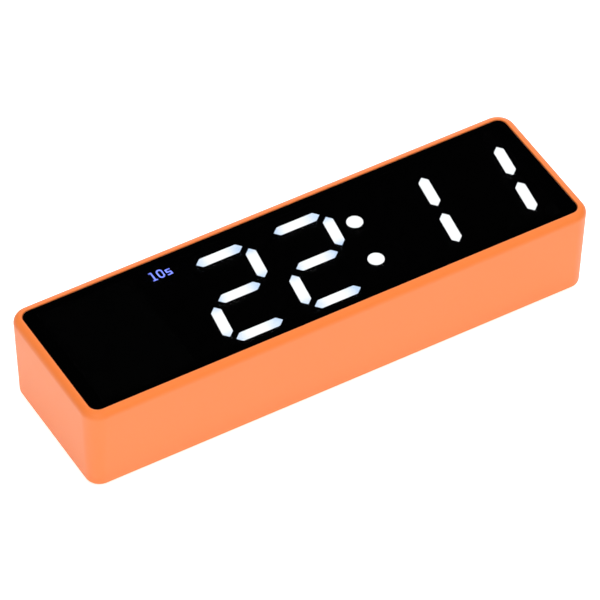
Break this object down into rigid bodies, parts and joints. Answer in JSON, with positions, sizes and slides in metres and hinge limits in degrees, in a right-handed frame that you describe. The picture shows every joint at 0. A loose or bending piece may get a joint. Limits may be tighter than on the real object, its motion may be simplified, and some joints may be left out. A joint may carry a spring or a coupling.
{
  "type": "alarm clock",
  "caption": "Long low orange desk alarm clock with a flush smoked window over slanted lit digits, side push buttons, a slide switch, a speaker grille and a charging socket.",
  "frame": {"origin": "bottom centre of the bounding box: the plane of the rubber pads, under the middle of the housing", "axes": "+X along the display in reading direction, +Y towards the top of the digits (the side with the buttons), +Z out of the display; the clock lies on its back"},
  "size_m": [0.15, 0.0444, 0.0274],
  "materials": {
    "housing_plastic": "moulded orange plastic with a fine satin texture",
    "button_plastic": "moulded orange plastic, a little smoother",
    "smoked_window": "polished smoked acrylic",
    "black_plastic": "black moulded plastic",
    "adhesive_tape": "black double-sided tape",
    "reflector_plastic": "light-tight moulded reflector, black outside",
    "lit_white": "milky diffuser, lit white",
    "unlit_diffuser": "smoked milky diffuser, unlit",
    "lit_blue": "milky diffuser, lit blue",
    "led_resin": "yellow LED resin",
    "circuit_board": "green solder mask",
    "screw_steel": "dark zinc-plated steel",
    "chip_resin": "black moulded resin",
    "crystal_can": "drawn metal can",
    "capacitor_ceramic": "brown sintered ceramic",
    "ferrite": "grey sintered ferrite",
    "socket_steel": "plated stainless steel",
    "plunger_plastic": "ivory plastic",
    "light_pipe": "clear polished plastic",
    "battery_foil": "matt laminated foil",
    "lead_insulation": "soft coloured insulation",
    "connector_nylon": "natural nylon",
    "foam": "black closed-cell foam",
    "speaker_steel": "pressed steel",
    "cone_paper": "black pressed paper",
    "magnet_nickel": "nickel-plated magnet",
    "pad_rubber": "black rubber with a matt face",
    "label_paper": "silver-grey film, blank"
  },
  "bodies": {
    "clock_case": {"housing": "housing_plastic", "lens": "smoked_window", "lens_adhesive": "adhesive_tape", "front_frame": "black_plastic", "display_reflector": "reflector_plastic", "lit_segments": "lit_white", "unlit_segments": "unlit_diffuser", "colon_dots": "lit_white", "seconds_mark": "lit_blue", "white_leds": "led_resin", "blue_led": "led_resin", "main_board": "circuit_board", "board_screws": "screw_steel", "microcontroller": "chip_resin", "led_driver": "chip_resin", "charger_chip": "chip_resin", "audio_amplifier": "chip_resin", "clock_crystal": "crystal_can", "capacitors": "capacitor_ceramic", "resistors": "chip_resin", "power_inductor": "ferrite", "usb_shell": "socket_steel", "usb_tongue": "black_plastic", "switch_bodies": "black_plastic", "power_switch_case": "socket_steel", "charge_light_pipe": "light_pipe", "charge_led": "led_resin", "battery_cell": "battery_foil", "battery_board": "circuit_board", "battery_leads": "lead_insulation", "battery_plug": "connector_nylon", "battery_socket": "connector_nylon", "battery_pad": "foam", "speaker_basket": "speaker_steel", "speaker_magnet": "speaker_steel", "speaker_cone": "cone_paper", "speaker_gasket": "foam", "speaker_leads": "lead_insulation", "magnets": "magnet_nickel", "case_screws": "screw_steel", "rubber_pads": "pad_rubber", "rating_label": "label_paper"},
    "mode_key": {"mode_button": "button_plastic", "mode_plunger": "plunger_plastic"},
    "set_key": {"set_button": "button_plastic", "set_plunger": "plunger_plastic"},
    "down_key": {"down_button": "button_plastic", "down_plunger": "plunger_plastic"},
    "up_key": {"up_button": "button_plastic", "up_plunger": "plunger_plastic"},
    "start_key": {"start_button": "button_plastic", "start_plunger": "plunger_plastic"},
    "power_slider": {"power_knob": "black_plastic", "power_switch_lever": "black_plastic"}
  },
  "joints": [
    {"name": "mode_press", "type": "slide", "parent": "clock_case", "child": "mode_key", "axis": [0, -1, 0], "range_m": [0, 0.0005], "stiffness_N_per_m": 400, "springref_m": -0.0015},
    {"name": "set_press", "type": "slide", "parent": "clock_case", "child": "set_key", "axis": [0, -1, 0], "range_m": [0, 0.0005], "stiffness_N_per_m": 400, "springref_m": -0.0015},
    {"name": "down_press", "type": "slide", "parent": "clock_case", "child": "down_key", "axis": [0, -1, 0], "range_m": [0, 0.0005], "stiffness_N_per_m": 400, "springref_m": -0.0015},
    {"name": "up_press", "type": "slide", "parent": "clock_case", "child": "up_key", "axis": [0, -1, 0], "range_m": [0, 0.0005], "stiffness_N_per_m": 400, "springref_m": -0.0015},
    {"name": "start_press", "type": "slide", "parent": "clock_case", "child": "start_key", "axis": [0, -1, 0], "range_m": [0, 0.0005], "stiffness_N_per_m": 400, "springref_m": -0.0015},
    {"name": "power_slide", "type": "slide", "parent": "clock_case", "child": "power_slider", "axis": [0, 1, 0], "range_m": [0, 0.002]}
  ]
}
